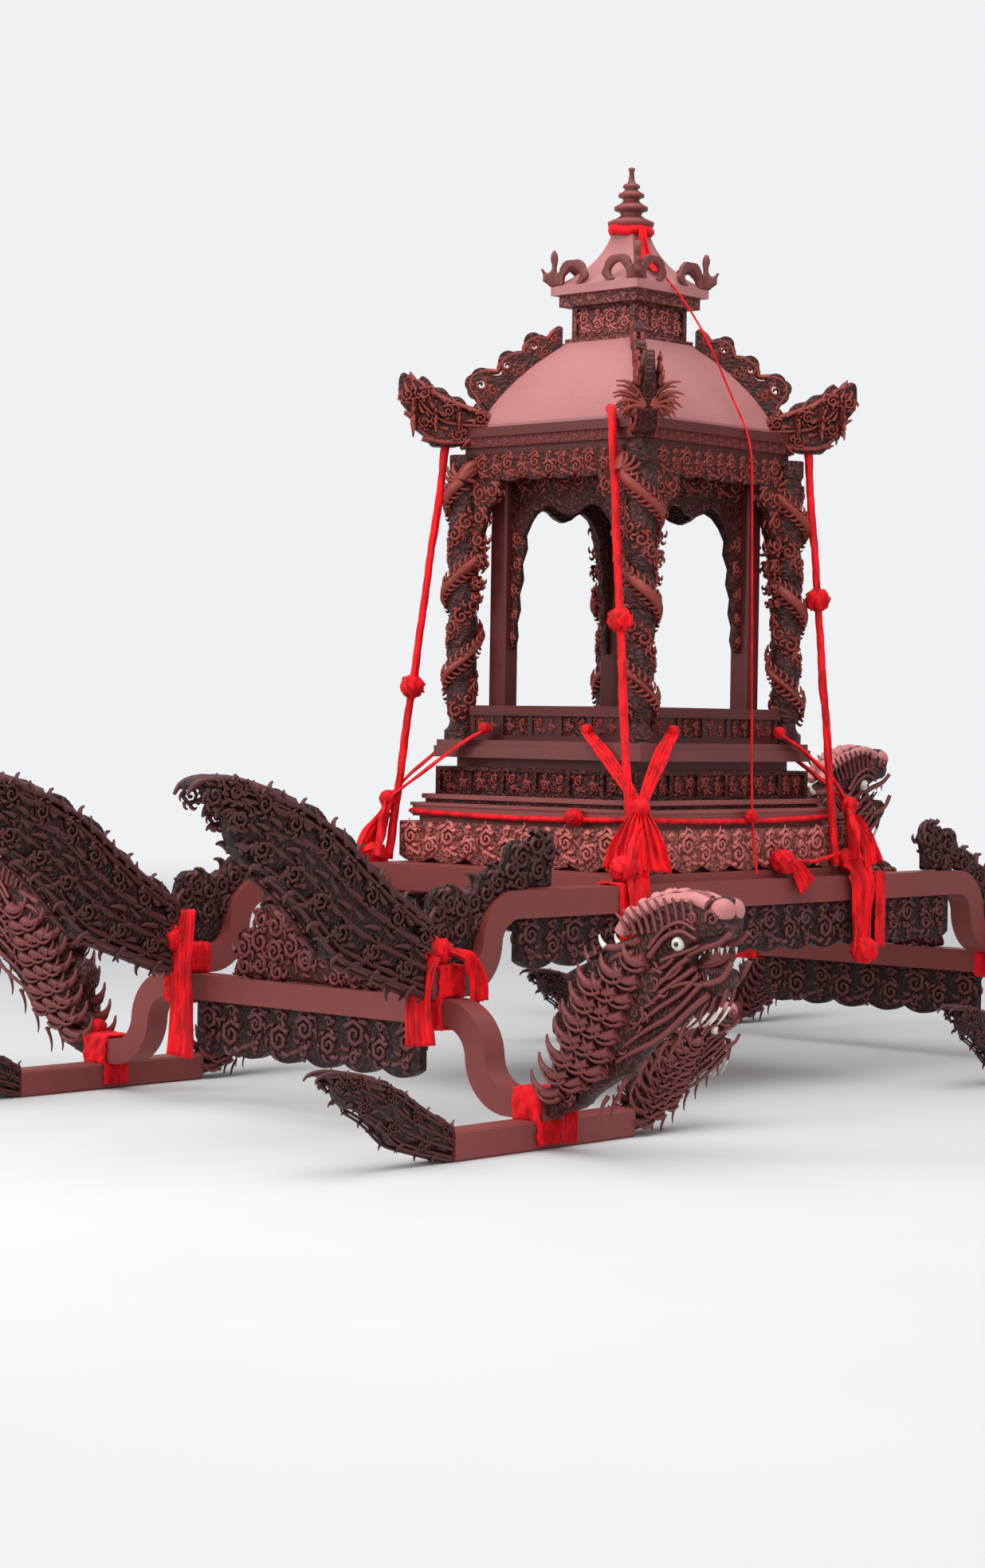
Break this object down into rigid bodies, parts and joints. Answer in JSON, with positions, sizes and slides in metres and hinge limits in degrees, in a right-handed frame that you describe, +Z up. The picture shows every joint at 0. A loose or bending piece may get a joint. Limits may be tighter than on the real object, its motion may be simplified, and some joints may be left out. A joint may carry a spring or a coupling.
{
  "type": "processional palanquin",
  "caption": "Carved wooden processional palanquin: square pavilion with a two-tiered roof on a stepped base, dragon-headed beams and short carrying poles lashed with red cloth.",
  "frame": {"origin": "on the ground below the middle of the whole length, between the four carrying poles", "axes": "+X towards the dragon heads at the front, +Z up, +Y to the palanquin's left"},
  "size_m": [4.2838, 2.9176, 2.738],
  "materials": {
    "roof_lacquer": "satin lacquer",
    "carved_wood": "oiled, carved",
    "beam_wood": "satin lacquer",
    "dragon_wood": "satin, carved",
    "dark_wood": "oiled, carved",
    "red_cloth": "plain weave, soft"
  },
  "bodies": {
    "root": {"balustrades": "carved_wood", "base_frieze": "carved_wood", "base_skirt": "carved_wood", "base_step": "carved_wood", "beam_bands": "red_cloth", "beam_flames_left": "carved_wood", "beam_flames_right": "carved_wood", "beam_lashings": "red_cloth", "corner_sashes": "red_cloth", "cross_beam_front": "beam_wood", "cross_beam_rear": "beam_wood", "cross_board_front": "carved_wood", "cross_board_rear": "carved_wood", "cross_crests": "carved_wood", "cross_head_front_left": "dragon_wood", "cross_head_front_right": "dragon_wood", "cross_head_rear_left": "dragon_wood", "cross_head_rear_right": "dragon_wood", "deck_boards": "beam_wood", "deck_rails": "beam_wood", "dragon_column_front_left": "carved_wood", "dragon_column_front_right": "carved_wood", "dragon_column_rear_left": "carved_wood", "dragon_column_rear_right": "carved_wood", "eave_cornice": "carved_wood", "finial": "carved_wood", "floor_slab": "carved_wood", "hip_crests": "carved_wood", "inner_posts": "carved_wood", "main_beam_left": "beam_wood", "main_beam_right": "beam_wood", "main_board_left": "carved_wood", "main_board_right": "carved_wood", "main_head_left": "dragon_wood", "main_head_right": "dragon_wood", "main_roof": "roof_lacquer", "main_tail_left": "dark_wood", "main_tail_right": "dark_wood", "pole_front_left": "beam_wood", "pole_front_right": "beam_wood", "pole_head_front_left": "dragon_wood", "pole_head_front_right": "dragon_wood", "pole_head_rear_left": "dragon_wood", "pole_head_rear_right": "dragon_wood", "pole_lashings": "red_cloth", "pole_rear_left": "beam_wood", "pole_rear_right": "beam_wood", "pole_tail_front_left": "dark_wood", "pole_tail_front_right": "dark_wood", "pole_tail_rear_left": "dark_wood", "pole_tail_rear_right": "dark_wood", "roof_corners": "carved_wood", "roof_drum": "carved_wood", "upper_corners": "carved_wood", "upper_roof": "roof_lacquer", "valances": "carved_wood"}
  },
  "joints": []
}
